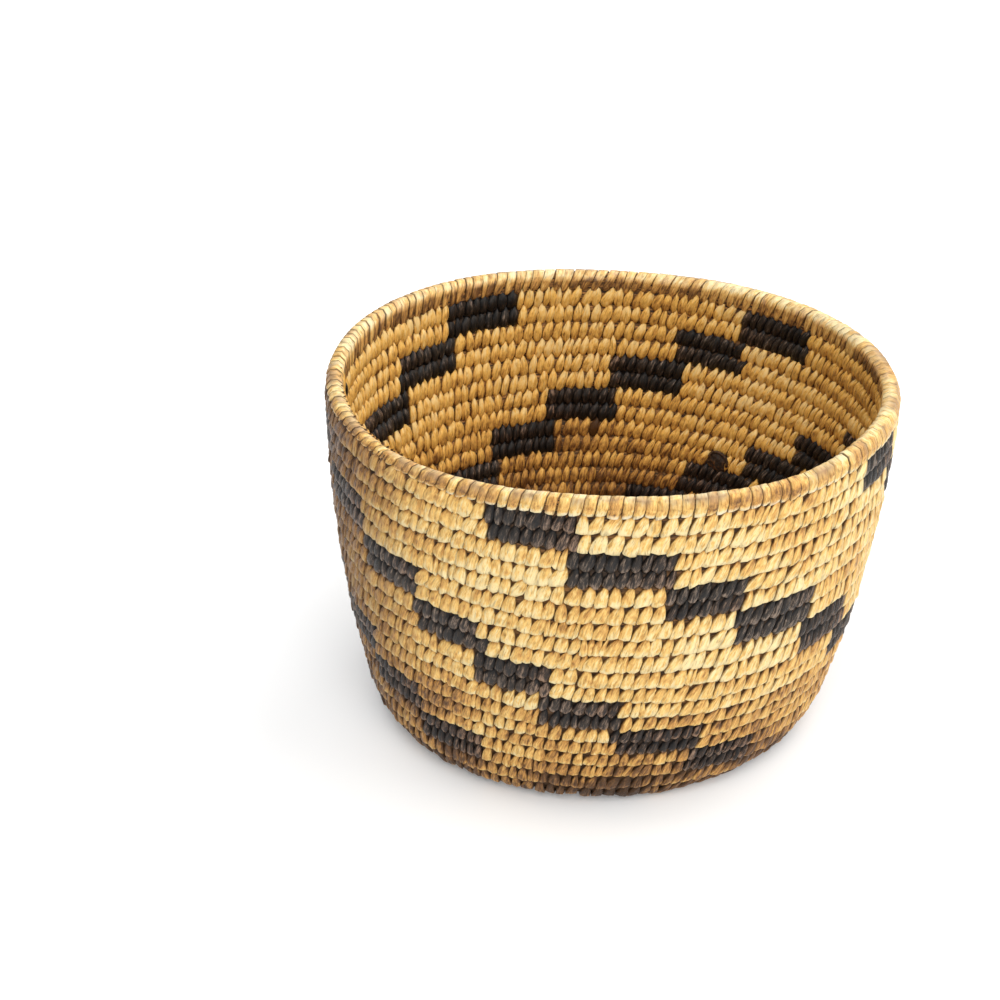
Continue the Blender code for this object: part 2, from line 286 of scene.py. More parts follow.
class BasketSizes(bpy.types.PropertyGroup):
    """Sizes of the sewing and of the stage."""

    light_pitch: length_prop("Light stitch pitch", "From one light stitch to the next", 3.2 * MM)
    dark_pitch: length_prop("Dark stitch pitch", "From one dark stitch to the next", 2.75 * MM)
    inner_pitch: length_prop("Inner stitch pitch", "From one stitch to the next inside the wall", 2.75 * MM)
    rim_pitch: length_prop("Rim wrap pitch", "From one wrap of the rim to the next", 3.1 * MM)
    split_share: FloatProperty(
        name="Split stitches", description="Share of the light stitches that are split in two",
        default=0.09, min=0.0, max=1.0, subtype="FACTOR")
    bundle_thickness: length_prop("Bundle thickness", "Thickness of the grass inside the stitches", 3.5 * MM)
    floor_size: length_prop("Floor size", "Width of the pale floor", 6.0, 1.0)


class BasketColours(bpy.types.PropertyGroup):
    """Colours of the splint, the grass and the stage."""

    pale_splint: colour_prop("Pale splint", "Lightest streaks of the light stitches", (1.0, 0.81, 0.43))
    light_splint: colour_prop("Light splint", "Bleached splint of the light stitches", (0.92, 0.585, 0.18))
    golden_splint: colour_prop("Golden splint", "Light splint that has turned golden", (0.64, 0.32, 0.082))
    aged_splint: colour_prop("Aged splint", "Light splint that has browned with age", (0.21, 0.097, 0.033))
    honey_splint: colour_prop("Honey splint", "Light splint inside the basket", (0.90, 0.51, 0.110))
    amber_splint: colour_prop("Amber splint", "Darker splint inside the basket", (0.58, 0.28, 0.060))
    brown_splint: colour_prop("Brown splint", "Browned splint inside the basket", (0.19, 0.076, 0.018))
    black_splint: colour_prop("Black splint", "Deepest black of the pattern", (0.004, 0.0035, 0.0035))
    dark_splint: colour_prop("Dark splint", "Charcoal splint of the pattern", (0.033, 0.023, 0.016))
    worn_splint: colour_prop("Worn dark splint", "Grey fibres on the dark crests", (0.30, 0.225, 0.17))
    rusty_splint: colour_prop("Rusty splint", "Dark splint that has faded to brown", (0.62, 0.46, 0.36))
    grass: colour_prop("Grass", "Grass bundle that shows between the stitches", (0.34, 0.155, 0.042))
    floor: colour_prop("Floor", "Pale paper floor", (0.80, 0.805, 0.81))


# The shape of the coil.

def smooth_line(points, steps):
    """Points along a smooth line through the given ones."""
    t = (np.arange(steps) / steps)[:, None]
    line = []
    for i in range(len(points) - 1):
        start, end = points[i], points[i + 1]
        leave = end - points[max(i - 1, 0)]
        arrive = points[min(i + 2, len(points) - 1)] - start
        span = np.linalg.norm(end - start)
        leave = leave / np.linalg.norm(leave) * span
        arrive = arrive / np.linalg.norm(arrive) * span
        line.append(
            start * (2 * t ** 3 - 3 * t ** 2 + 1) + leave * (t ** 3 - 2 * t ** 2 + t)
            + end * (3 * t ** 2 - 2 * t ** 3) + arrive * (t ** 3 - t ** 2))
    return np.vstack(line + [points[-1:]])


PROFILE = smooth_line(WALL_PROFILE, PROFILE_STEPS)
PROFILE_LENGTHS = np.concatenate([[0.0], np.cumsum(np.linalg.norm(np.diff(PROFILE, axis=0), axis=1))])
PROFILE_DOWN = np.gradient(PROFILE, PROFILE_LENGTHS, axis=0)
PROFILE_DOWN /= np.linalg.norm(PROFILE_DOWN, axis=1)[:, None]


def distance_at(turns):
    """Distance from the rim down the wall after a number of turns of the coil."""
    wall = np.minimum(turns, WALL_TURNS)
    ease = (COURSE_AT_RIM - COURSE_AT_BASE) / (2 * WALL_TURNS)
    return COURSE_AT_RIM * wall - ease * wall * wall + COURSE_AT_BASE * (turns - wall)


def off_angle(degrees, middle):
    """Degrees from one angle to another, from -180 to 180."""
    return (degrees - middle + 180) % 360 - 180


def peak(place, middle, width):
    """A smooth swell that is 1 at its middle and falls off on both sides."""
    return np.exp(-((place - middle) / width) ** 2)


def line_at(turns, across=0.0):
    """A line along the coil, as a distance down the wall; across runs from -0.5 to 0.5 down a course.

    The courses climb evenly, drift over half a turn or more, and are a little wavy, as sewn by hand."""
    place = turns + across
    angle = math.tau * turns
    down = np.clip(place, 0.0, DRIFT_FADES[0]) / 10
    waves = (1.0, np.cos(angle), np.sin(angle), np.cos(2 * angle), np.sin(2 * angle))
    drift = sum(wave * (a + b * down + c * down * down) for wave, (a, b, c) in zip(waves, DRIFT))
    drift = drift * MM * np.interp(place, DRIFT_FADES, (1.0, 0.0))
    for middle, course, width, height, shift in DRIFT_PLACES:
        off = off_angle(np.degrees(angle), middle)
        drift = drift + shift * MM * np.exp(-(off / width) ** 2 - ((place - course) / height) ** 2)
    ripple = math.tau * place
    wavy = np.sin(5.3 * ripple + 1.1) + 0.8 * np.sin(8.9 * ripple + 4.0) + 0.6 * np.sin(17.7 * ripple + 2.3)
    return distance_at(place) + drift + EDGE_WAVE * wavy


def radius_at(turns):
    return np.interp(distance_at(turns), PROFILE_LENGTHS, PROFILE[:, 0])


def turns_at_radius(radius):
    """Turns down from the rim at which the flat base's coil has a given radius."""
    length = np.interp(radius, PROFILE[::-1, 0], PROFILE_LENGTHS[::-1])
    return WALL_TURNS + (length - distance_at(WALL_TURNS)) / COURSE_AT_BASE


COIL_START = turns_at_radius(COIL_START_RADIUS)


def on_profile(distance, line):
    """Both coordinates of a line that follows the profile, at distances from the rim."""
    return [np.interp(distance, PROFILE_LENGTHS, line[:, k]) for k in (0, 1)]


def on_basket(turns, distance, lift):
    """Points at distances from the rim along the wall, lifted out of its middle, on the hand-made shape."""
    down_x, down_z = on_profile(distance, PROFILE_DOWN)
    radius, height = on_profile(distance, PROFILE)
    radius = radius - lift * down_z
    height = height + lift * down_x + np.maximum(-distance, 0.0)
    angle = math.tau * turns
    rise = height / RIM_HEIGHT
    oval = 1 + RIM_OVAL / RIM_RADIUS * rise * np.cos(2 * (angle - OVAL_ANGLE))
    wave = RIM_WAVE * np.cos(2 * (angle - WAVE_ANGLE))
    x = radius * np.cos(angle)
    y = radius * np.sin(angle)
    for middle, width, up in RIM_SWELLS:
        off = off_angle(np.degrees(angle), middle)
        wave = wave + up * rise ** 3 * peak(off, 0, width)
    z = height + rise * (wave - RIM_TIP * x / RIM_RADIUS)
    return np.stack([x * oval + RIM_LEAN * rise, y * oval, np.maximum(z, 0.0)], axis=-1)


def dark_stretches():
    """The stretches of the coil that are sewn in dark splint, as pairs of turns, in order."""
    stretches = []
    for middle, flight in zip(FLIGHT_MIDDLES_DEG, BLOCK_ENDS_DEG):
        for step, block in enumerate(flight):
            for course, (start, end) in enumerate(block):
                turns = 1 + COURSES_PER_STEP * step + course + (middle + step * STEP_TURN_DEG) / 360
                stretches.append((turns + start / 360, turns + end / 360))
    return sorted(stretches)


def sewing(start, end, light_pitch, dark_pitch, split_share):
    """Every stitch between two turns: rows of (turns, pitch in turns, 1 if dark, share of the pitch)."""
    draw = np.random.default_rng(5)
    edges = [start]
    darks = []
    for low, high in dark_stretches():
        if start < low and high < end:
            edges += [low, high]
            darks.append((low + high) / 2)
    edges.append(end)
    rows = []
    for low, high in zip(edges, edges[1:]):
        if high <= low:
            continue
        dark = any(low < middle < high for middle in darks)
        pieces = 1 if dark else max(1, round((high - low) * RUNS_PER_TURN))
        cuts = np.linspace(low, high, pieces + 1)
        for a, b in zip(cuts, cuts[1:]):
            length = math.tau * max(radius_at((a + b) / 2), LEAST_RADIUS) * (b - a)
            pitch = dark_pitch if dark else light_pitch
            pitch *= np.interp((a + b) / 2 / WALL_TURNS, PITCH_PLACES, PITCH_SHARES)
            count = max(1, round(length / pitch))
            widths = draw.normal(1.0, STITCH_SPREAD, count).clip(*STITCH_LIMITS)
            bounds = a + (b - a) * np.concatenate([[0.0], np.cumsum(widths) / widths.sum()])
            for left, right in zip(bounds, bounds[1:]):
                middle, pitch = (left + right) / 2, right - left
                if not dark and draw.random() < split_share:
                    cut = draw.uniform(0.40, 0.60)
                    rows.append((left + pitch * cut / 2, pitch, 0.0, cut * SPLIT_WIDTH))
                    rows.append((right - pitch * (1 - cut) / 2, pitch, 0.0, (1 - cut) * SPLIT_WIDTH))
                else:
                    rows.append((middle, pitch, float(dark), 1.0))
    return np.array(rows)


# Tools shared by the pieces.

def start_clean():
    """Leave edit mode and deselect everything."""
    if bpy.context.object and bpy.context.object.mode != "OBJECT":
        bpy.ops.object.mode_set(mode="OBJECT")
    bpy.ops.object.select_all(action="DESELECT")


def edit_all():
    """Start editing the whole of the active piece."""
    bpy.ops.object.mode_set(mode="EDIT")
    bpy.ops.mesh.select_all(action="SELECT")


def taken(piece):
    """The points and faces of a modelled piece, which is removed."""
    mesh = piece.data
    points = np.array([vert.co[:] for vert in mesh.vertices])
    faces = np.array([face.vertices[:] for face in mesh.polygons])
    bpy.data.objects.remove(piece)
    bpy.data.meshes.remove(mesh)
    return points, faces


def model_stitch(rows, columns=FLAT_SPLINT, tucked=True):
    """One stitch, drawn from a flat strip: each row is widened, set down the course and lifted."""
    start_clean()
    across, along = len(columns) - 1, len(rows) - 1
    bpy.ops.mesh.primitive_grid_add(x_subdivisions=across, y_subdivisions=along, size=2)
    strip = bpy.context.object
    bpy.ops.object.mode_set(mode="EDIT")
    strip_mesh = bmesh.from_edit_mesh(strip.data)
    strip_mesh.verts.ensure_lookup_table()
    row_of = [round((1 - vert.co.y) / 2 * along) for vert in strip_mesh.verts]
    column_of = [round((1 + vert.co.x) / 2 * across) for vert in strip_mesh.verts]

    def pick(chosen):
        for vert, wanted in zip(strip_mesh.verts, chosen):
            vert.select = wanted
        strip_mesh.select_flush_mode()
        bmesh.update_edit_mesh(strip.data)

    for k, (place, drop) in enumerate(columns):
        pick([column == k for column in column_of])
        grid_x = 2 * k / across - 1
        bpy.ops.transform.translate(value=(place - grid_x, 0, drop * MM))
    for k, (place, half_width, lift) in enumerate(rows):
        pick([row == k for row in row_of])
        grid_y = 1 - 2 * k / along
        bpy.ops.transform.resize(value=(half_width, 1, 1))
        bpy.ops.transform.translate(value=(0, place - grid_y, lift * MM))
    bpy.ops.object.mode_set(mode="OBJECT")
    # How far each point lies into the stitch's edge, where its finish paints shade: the sides, and the top
    # when tucked under the course above.
    border = np.array([
        max(abs(columns[c][0]), tucked * (1 - 2 * r / along) ** 3) for r, c in zip(row_of, column_of)])
    return *taken(strip), border


def linked(name, data):
    """A new object in the scene."""
    made = bpy.data.objects.new(name, data)
    bpy.context.scene.collection.objects.link(made)
    return made


def dressed(piece, finish):
    """Shade a piece smooth and give it its finish."""
    piece.data.shade_smooth()
    piece.data.materials.clear()
    piece.data.materials.append(finish_named(finish))
    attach(piece, "root")
    return piece


def mesh_piece(name, points, faces, finish, uv, values):
    """A piece at the origin with its own UV map and point values."""
    mesh = bpy.data.meshes.new(name)
    mesh.from_pydata(points.reshape(-1, 3).tolist(), [], faces.tolist())
    corners = mesh.uv_layers.new(name="splint").data
    corners.foreach_set("uv", uv.reshape(-1, 2)[faces.ravel()].ravel())
    for label, value in values.items():
        each = np.broadcast_to(value, points.shape[:-1]).ravel()
        mesh.attributes.new(label, "FLOAT", "POINT").data.foreach_set("value", each)
    return dressed(linked(name, mesh), finish)


def copies(faces, count, points_each, flip):
    """Face lists of many copies of one stitch."""
    each = faces[:, ::-1] if flip else faces
    return (each[None] + (np.arange(count) * points_each)[:, None, None]).reshape(-1, faces.shape[1])


def broad_top(turns):
    """Where outer stitches are broad at the top too: 1 on the left of the front, 0 elsewhere."""
    angle = (turns * 360) % 360
    return np.clip((290 - angle) / 45, 0, 1) * np.clip((angle - 150) / 30, 0, 1)


def hand(draw, count, amounts, uneven=1.0):
    """A function that draws a small difference of some kind for each of a number of stitches."""
    return lambda kind: draw.normal(0.0, 1.0, (count, 1)).clip(-2.2, 2.2) * amounts[kind] * uneven


def laid(name, stitch, sewn, side, finish, seed, uneven=1.0):
    """Copy one stitch along the coil: side is 1 outside and -1 inside."""
    points, faces, border = stitch
    draw = np.random.default_rng(seed)
    count = len(sewn)
    vary = hand(draw, count, STITCH_HAND, uneven)
    lean = outer_lean if side > 0 else inner_lean
    across, along, lift = points[:, 0][None], points[:, 1][None], points[:, 2][None]
    turns, pitch, share = sewn[:, 0:1], sewn[:, 1:2], sewn[:, 3:4]
    up, down = (1 - along).clip(0, 1), along.clip(0, 1)
    rough = draw.normal(0.0, 1.0, (count, len(points)))
    width = share * (1 + vary("width"))
    if side > 0:
        low = (2 * turns / WALL_TURNS - 1).clip(0, 1) * (turns < WALL_TURNS)
        width = width * (1 - LOW_NARROW * low) * (1 - LOW_TAPER * low * up)
        width = width * (1 + LEFT_BROAD * broad_top(turns) * up)
    rough_edge = ROUGH_ALONG + ROUGH_LOWER_EDGE * (along > 0.9) * (side > 0)
    reach = along * (1 + vary("length")) + vary("ends")
    reach = reach + across * vary("skew") * along + rough * rough_edge
    reach = reach - CORNER_ROUND * ((across - 0.12) / 0.38).clip(0, 1) ** 1.6 * down ** 4 * (side > 0)
    tip = vary("tip") * up ** 2
    slant = (lean(turns) + vary("lean")) * (up ** 1.4 - 0.30)
    waist = 1 + vary("waist") * np.sin(math.pi * down)
    bow = vary("bow") * (0.25 - (along - 0.5) ** 2)
    shift = across * width * waist + slant + bow + tip + vary("place") + rough * ROUGH_ACROSS
    place = turns + pitch * shift
    top = line_at(place, -0.5)
    height = line_at(place, 0.5) - top
    curl = across * down ** 2 * (CORNER_CURL + vary("curl")) * (side > 0)
    bulge = vary("lift") + across * vary("tilt") + curl + draw.normal(0.0, ROUGH_LIFT, rough.shape)
    world = on_basket(place, top + reach * height, side * (lift + bulge * MM))
    uv = np.stack([
        across * width * pitch * math.tau * radius_at(turns) / MM + draw.uniform(0, 400, (count, 1)),
        reach * height / MM + draw.uniform(0, 400, (count, 1))], -1)
    tones = draw.uniform(0, 1, TONE_COUNT)
    run = np.interp((turns + 1) * TONES_PER_TURN, np.arange(TONE_COUNT), tones)
    tone = 0.5 * run + 0.5 * draw.uniform(0, 1, (count, 1))
    if side < 0:
        tone = tone + BROWN_STITCH_TONE * (abs(turns - BROWN_STITCH_TURNS) < pitch / 2)
    values = {
        "tone": tone,
        # Painted shade at the stitch's sides and at its top under the course above.
        "border": border[None],
        # Painted shade with some dirt in the grooves: the lower a point lies, the darker.
        "recess": ((SHADED_LIFT * MM - lift) / MM).clip(0, 1),
        # Painted highlight: the outer stitch's lower lip and the inner stitch's top half are lighter, as if
        # lit.
        "bright": ((along - 0.72) / 0.22).clip(0, 1) if side > 0 else ((0.55 - along) / 0.45).clip(0, 1),
        "course": turns / WALL_TURNS,
    }
    if sewn[0, 2]:
        starts, ends = np.array(dark_stretches()).T
        block = np.searchsorted(starts, turns) - 1
        from_start = (turns - starts[block]) / (ends[block] - starts[block])
        values["faded"] = np.random.default_rng(9).uniform(0, 1, len(starts))[block] * from_start ** 1.5
    return mesh_piece(name, world, copies(faces, count, len(points), side < 0), finish, uv, values)


def between(sewn, low, high, dark):
    """The stitches of one splint between two turns."""
    return sewn[(sewn[:, 0] >= low) & (sewn[:, 0] < high) & (sewn[:, 2] == dark)]


def sew_wall(face, sewn, light, dark, side, finishes, seed):
    """Sew one face of the wall: its light stitches in two pieces, then the dark ones."""
    parts = (("upper", RIM_START, WALL_MIDDLE), ("lower", WALL_MIDDLE, WALL_END))
    for k, (part, low, high) in enumerate(parts):
        chosen = between(sewn, low, high, 0)
        laid(f"{face}_light_{part}", light, chosen, side, finishes[0], seed + k)
    chosen = between(sewn, RIM_START, WALL_END, 1)
    laid(face + "_dark", dark, chosen, side, finishes[1], seed + 10, DARK_UNEVEN)


def sew_flat(name, start, end, seed):
    """Sew both faces of a stretch of the flat base."""
    sizes = bpy.context.scene.basket_sizes
    sewn = sewing(start, end, sizes.light_pitch, sizes.dark_pitch, sizes.split_share)
    laid(name + "_underside", model_stitch(OUTER_LIGHT), sewn, 1, "outer_splint", seed)
    inside = model_stitch(INNER_LIGHT, ROUND_SPLINT)
    laid(name + "_inside", inside, sewn, -1, "inner_splint", seed + 1)


# Finishes.

def scaled(colour, share):
    return tuple(min(1.0, share * part) for part in colour[:3]) + (1.0,)


def halfway(first, second):
    return tuple(0.5 * (a + b) for a, b in zip(first, second))


def join(tree, value, socket):
    """Set an input of a node, or link it where the value is another node's output."""
    if isinstance(value, bpy.types.NodeSocket):
        tree.links.new(value, socket)
    else:
        socket.default_value = value


def add_node(tree, kind, inputs=None, **settings):
    made = tree.nodes.new(kind)
    for key, value in settings.items():
        setattr(made, key, value)
    for key, value in (inputs or {}).items():
        join(tree, value, made.inputs[key])
    return made


class Finish:
    """A node material under construction, with short ways to add and join nodes."""

    def __init__(self, name):
        self.material = bpy.data.materials.new(name)
        self.material.use_nodes = True
        self.tree = self.material.node_tree
        self.shader = self.tree.nodes["Principled BSDF"]

    def node(self, kind, inputs=None, **settings):
        return add_node(self.tree, kind, inputs, **settings)

    def value(self, label):
        return self.node("ShaderNodeAttribute", attribute_name=label).outputs["Fac"]

    def grain(self, scale, stretch, detail=4.0, rough=0.6):
        """Streaks along a splint: noise on the piece's UV map, long down the stitch."""
        uv = self.node("ShaderNodeUVMap", uv_map="splint").outputs["UV"]
        laid_uv = self.node("ShaderNodeMapping", {"Vector": uv, "Scale": (scale, scale / stretch, 1.0)})
        noise = self.node("ShaderNodeTexNoise", {
            "Vector": laid_uv.outputs["Vector"], "Scale": 1.0, "Detail": detail, "Roughness": rough})
        return noise.outputs["Fac"]

    def place(self):
        return self.node("ShaderNodeTexCoord").outputs["Object"]

    def east(self):
        """Place across the basket, from left to right."""
        return self.node("ShaderNodeSeparateXYZ", {"Vector": self.place()}).outputs["X"]

    def cloud(self, scale, detail=3.0):
        """Stains over the whole basket."""
        noise = self.node("ShaderNodeTexNoise", {"Vector": self.place(), "Scale": scale, "Detail": detail})
        return noise.outputs["Fac"]

    def span(self, source, low, high, to_low=0.0, to_high=1.0, clamp=True):
        return self.node("ShaderNodeMapRange", {
            "Value": source, "From Min": low, "From Max": high, "To Min": to_low, "To Max": to_high,
        }, clamp=clamp).outputs["Result"]

    def trait(self, label, low, high, to_low, to_high):
        """One of the piece's point values, mapped to a range."""
        return self.span(self.value(label), low, high, to_low, to_high)

    def sums(self, operation, a, b):
        return self.node("ShaderNodeMath", {0: a, 1: b}, operation=operation).outputs["Value"]

    def total(self, first, *others):
        for other in others:
            first = self.sums("ADD", first, other)
        return first

    def mixed(self, share, first, second, blend="MIX"):
        mix = self.node("ShaderNodeMix", {"Factor": share}, data_type="RGBA", blend_type=blend)
        colours = [socket for socket in mix.inputs if socket.type == "RGBA"]
        for value, socket in zip((first, second), colours):
            join(self.tree, value, socket)
        return next(socket for socket in mix.outputs if socket.type == "RGBA")

    def ramp(self, share, colours):
        """Evenly spaced colours from a share of 0 to a share of 1."""
        made = self.node("ShaderNodeValToRGB", {"Fac": share})
        stops = made.color_ramp.elements
        while len(stops) < len(colours):
            stops.new(0.5)
        for k, colour in enumerate(colours):
            stops[k].position = k / (len(colours) - 1)
            stops[k].color = colour
        return made.outputs["Color"]

    def shade(self, values):
        for name, value in values.items():
            join(self.tree, value, self.shader.inputs[name])

    def finish(self, colour, roughness, relief, depth, gloss=0.5):
        bump = self.node("ShaderNodeBump", {"Height": relief, "Distance": depth, "Strength": 1.0})
        self.shade({
            "Base Color": colour, "Roughness": roughness, "Normal": bump.outputs["Normal"],
            "Specular IOR Level": gloss})
        return self.material


def splint_finish(name, stops, tones, side=0.0, worn=0.0, foot=0.0, low_start=0.50, low_darkening=0.38):
    """Split plant fibre: streaks down each stitch, a tone of its own, stains, darker towards the bottom,
    painted shade at the edges and in the grooves, painted highlights on the lips, and browning with painted
    shade on the left side.
    """
    make = Finish(name)
    fibres = make.grain(1.5, 6.0, detail=5.0, rough=0.75)
    cracks = make.grain(2.4, 7.0, detail=3.0, rough=0.6)
    blotches = make.grain(0.55, 1.6, detail=2.0, rough=0.5)
    # Darker towards the bottom of the wall.
    low = make.total(
        make.trait("course", low_start, 0.95, 0.0, low_darkening),
        make.trait("course", 0.90, 1.15, 0.0, -0.6 * low_darkening))
    patchy = make.sums("MULTIPLY", low, make.span(make.cloud(60.0), 0.42, 0.60, 0.0, 1.1))
    # Browning from age and stains, with painted shade in the grooves and on the left side and painted
    # highlights on the lips; it picks the colour.
    age = make.total(
        make.span(make.value("tone"), 0.0, 1.0, *tones, clamp=False),
        make.span(blotches, 0.50, 0.72, 0.0, 0.36),
        make.span(make.cloud(26.0), 0.45, 0.70, 0.0, 0.24),
        make.sums("ADD", low, patchy),
        make.span(fibres, 0.32, 0.68, -0.34, 0.34),
        # Painted shade, with some dirt, in the grooves under the course above.
        make.trait("recess", 0.0, 1.0, 0.0, 0.72),
        # Painted highlight on the lips.
        make.trait("bright", 0.0, 1.0, 0.06, -0.28),
        # Darker over the lowest courses of the wall, much less so on the base.
        make.trait("course", 0.86, 0.95, 0.0, foot),
        make.trait("course", 0.99, 1.08, 0.0, -0.8 * foot),
        # Browning on the left side: partly age, partly painted shade.
        make.span(make.east(), *BROWNED_AND_SHADED_SIDE, 0.0, side))
    deep = scaled(stops[-1], 0.30)
    base = make.ramp(make.sums("MULTIPLY", age, 0.75), [*stops, scaled(deep, 1.2)])
    # Painted shade that darkens the left side of the outside.
    if side:
        base = make.mixed(make.span(make.east(), *PAINTED_SHADE_SIDE), base, PAINTED_SHADE_TINT, "MULTIPLY")
    if worn:
        patches = make.span(make.cloud(150.0), 0.44, 0.58, 0.0, worn)
        red, green, blue = halfway(stops[1], stops[-1])[:3]
        greyed = (red * 0.72, green * 0.72, blue * 1.15, 1.0)
        base = make.mixed(make.sums("MULTIPLY", make.value("worn"), patches), base, greyed)
        # Painted highlights: near-white glints where the rim is brightest.
        painted_glints = make.span(make.cloud(230.0), 0.44, 0.60, 0.15, 0.85)
        base = make.mixed(make.sums("MULTIPLY", make.value("bright"), painted_glints), base, PAINTED_GLINT_TINT)
    base = make.mixed(make.span(cracks, 0.60, 0.68, 0.0, 0.45), base, stops[-1])
    # Painted shade at the stitches' sides and tucked tops.
    base = make.mixed(make.trait("border", 0.86, 0.97, 0.0, 0.9), base, deep)
    relief = make.sums("SUBTRACT", fibres, make.span(cracks, 0.56, 0.64, 0.0, 0.35))
    return make.finish(base, make.span(fibres, 0.3, 0.7, 0.32, 0.56), relief, 0.42 * MM, 0.32)


def black_finish(name, stops, rusty, shift):
    """Black splint: nearly black at the edges and in the grooves from painted shade, with grey fibres,
    painted highlights on the lower crests and rusty stretches.
    """
    make = Finish(name)
    fibres = make.grain(1.5, 6.0, detail=5.0, rough=0.75)
    level = make.total(
        make.trait("tone", 0.0, 1.0, shift - 0.04, shift + 0.44),
        make.span(fibres, 0.34, 0.68, -0.40, 0.92),
        # Painted shade: nearly black in the grooves under the course above.
        make.trait("recess", 0.0, 1.0, 0.0, -1.2),
        # Painted highlight on the lower crests.
        make.trait("bright", 0.0, 1.0, 0.0, 0.30),
        make.trait("faded", 0.1, 1.0, 0.0, 0.25))
    base = make.ramp(level, stops)
    rust = make.total(
        make.span(make.cloud(24.0), 0.50, 0.64, 0.0, 0.55),
        make.trait("course", 0.50, 0.85, 0.0, 0.7),
        make.trait("faded", 0.1, 1.0, 0.0, 0.9))
    base = make.mixed(rust, base, rusty, "SOFT_LIGHT")
    # Painted shade: black at the stitches' sides and tucked tops.
    base = make.mixed(make.trait("border", 0.84, 1.0, 0.0, 0.9), base, stops[0])
    return make.finish(base, make.span(fibres, 0.3, 0.7, 0.30, 0.52), fibres, 0.40 * MM, 0.36)


def grass_finish(colour):
    """The bundle's grass: stalks along the coil, golden with dark gaps, darker towards the bottom, and
    darkened by painted shade under the dark splint, on its outer side and round the hole.
    """
    make = Finish("grass_bundle")
    stalks = make.grain(1.7, 16.0)
    base = make.mixed(make.span(stalks, 0.42, 0.66), scaled(colour, 0.10), scaled(colour, 1.7))
    # Darker towards the bottom.
    base = make.mixed(make.trait("course", 0.30, 0.85, 0.0, 0.7), base, scaled(colour, 0.20))
    # Painted shade on the grass under dark splint, on its outer side and at the hole.
    base = make.mixed(make.value("soot"), base, scaled(colour, 0.06))
    return make.finish(base, 0.75, stalks, 0.4 * MM)


def knot_finish(colour):
    """The dark fibre of the knot that stops the hole."""
    make = Finish("knot_fibre")
    lumps = make.cloud(900.0, detail=4.0)
    base = make.mixed(make.span(lumps, 0.5, 0.72), colour, scaled(colour, 7.0))
    return make.finish(base, 0.7, lumps, 0.9 * MM)


def finish_named(name):
    """A finish by name, made the first time that a piece asks for it."""
    made = bpy.data.materials.get(name)
    if made:
        return made
    colours = bpy.context.scene.basket_colours

    def pick(*names):
        return [tuple(getattr(colours, each)) for each in names]

    light = pick("pale_splint", "light_splint", "golden_splint", "aged_splint")
    warm = pick("honey_splint", "amber_splint", "brown_splint")
    warm.insert(0, halfway(light[0], warm[0]))
    dark = pick("black_splint", "dark_splint", "worn_splint")
    rusty, grass = pick("rusty_splint", "grass")
    if name == "outer_splint":
        return splint_finish(name, light, (-0.08, 0.38), side=0.50, foot=0.42)
    if name == "inner_splint":
        return splint_finish(name, warm, (0.03, 0.53), low_start=0.35, low_darkening=0.60)
    if name == "rim_overcast":
        return splint_finish(name, light, (-0.06, 0.42), worn=0.9)
    if name == "black_splint":
        return black_finish(name, dark, rusty, -0.06)
    if name == "black_inner_splint":
        # Painted shade: the inside's black splint is the same splint set darker.
        return black_finish(name, dark, rusty, -0.36)
    if name == "knot_fibre":
        return knot_finish(scaled(warm[-1], 0.09))
    return grass_finish(grass)


# The pieces.

def grass_coil(name, start, end, thickness):
    """A stretch of the grass bundle, swept along the coil with a flattened round section."""
    start_clean()
    half = thickness / 2
    tall = COURSE_AT_BASE / 2 + BUNDLE_OVERLAP
    outline = bpy.data.curves.new(name + "_section", "CURVE")
    outline.dimensions = "2D"
    ring = outline.splines.new("POLY")
    ring.points.add(BUNDLE_SIDES - 1)
    for k, point in enumerate(ring.points):
        turn = math.tau * (k + 0.5) / BUNDLE_SIDES
        flat = 1 / max(abs(math.cos(turn)), abs(math.sin(turn))) ** BUNDLE_SQUARE
        point.co = (half * flat * math.cos(turn), tall * flat * math.sin(turn), 0.0, 1.0)
    ring.use_cyclic_u = True
    guide = linked(name + "_section", outline)
    path = bpy.data.curves.new(name, "CURVE")
    path.dimensions = "3D"
    path.twist_mode = "Z_UP"
    path.bevel_mode = "OBJECT"
    path.bevel_object = guide
    spline = path.splines.new("POLY")
    turns = np.linspace(start, end, max(2, round((end - start) * BUNDLE_STEPS)))
    spline.points.add(len(turns) - 1)
    distance = line_at(turns)
    centres = on_basket(turns, distance, np.zeros_like(turns))
    for point, centre, down_x, down_z in zip(spline.points, centres, *on_profile(distance, PROFILE_DOWN)):
        point.co = (*centre, 1.0)
        point.tilt = math.atan2(-down_x, -down_z)
    coil = linked(name, path)
    bpy.context.view_layer.objects.active = coil
    coil.select_set(True)
    bpy.ops.object.convert(target="MESH")
    bpy.data.objects.remove(guide)
    points, faces = taken(bpy.context.object)
    points[:, 2] = np.maximum(points[:, 2], BUNDLE_CLEAR)
    step, side = np.divmod(np.arange(len(points)), BUNDLE_SIDES)
    along = np.cumsum(np.concatenate([[0.0], np.linalg.norm(np.diff(centres, axis=0), axis=1)])) / MM
    uv = np.stack([side * 1.4, along[step]], axis=-1)
    # Painted shade on the grass under the dark splint and round the hole.
    shaded_gaps = np.zeros(len(turns))
    for low, high in dark_stretches() + [(HOLE_TURNS - HOLE_REACH, HOLE_TURNS + HOLE_REACH)]:
        shaded_gaps[(turns > low) & (turns < high)] = 1.0
    outside = np.hypot(points[:, 0], points[:, 1]) > np.hypot(centres[step, 0], centres[step, 1])
    values = {
        "soot": np.maximum(shaded_gaps[step] * GAP_SHADE_UNDER_DARK, outside * GAP_SHADE_OUTSIDE),
        "course": turns[step] / WALL_TURNS,
    }
    return mesh_piece(name, points, faces, "grass_bundle", uv, values)


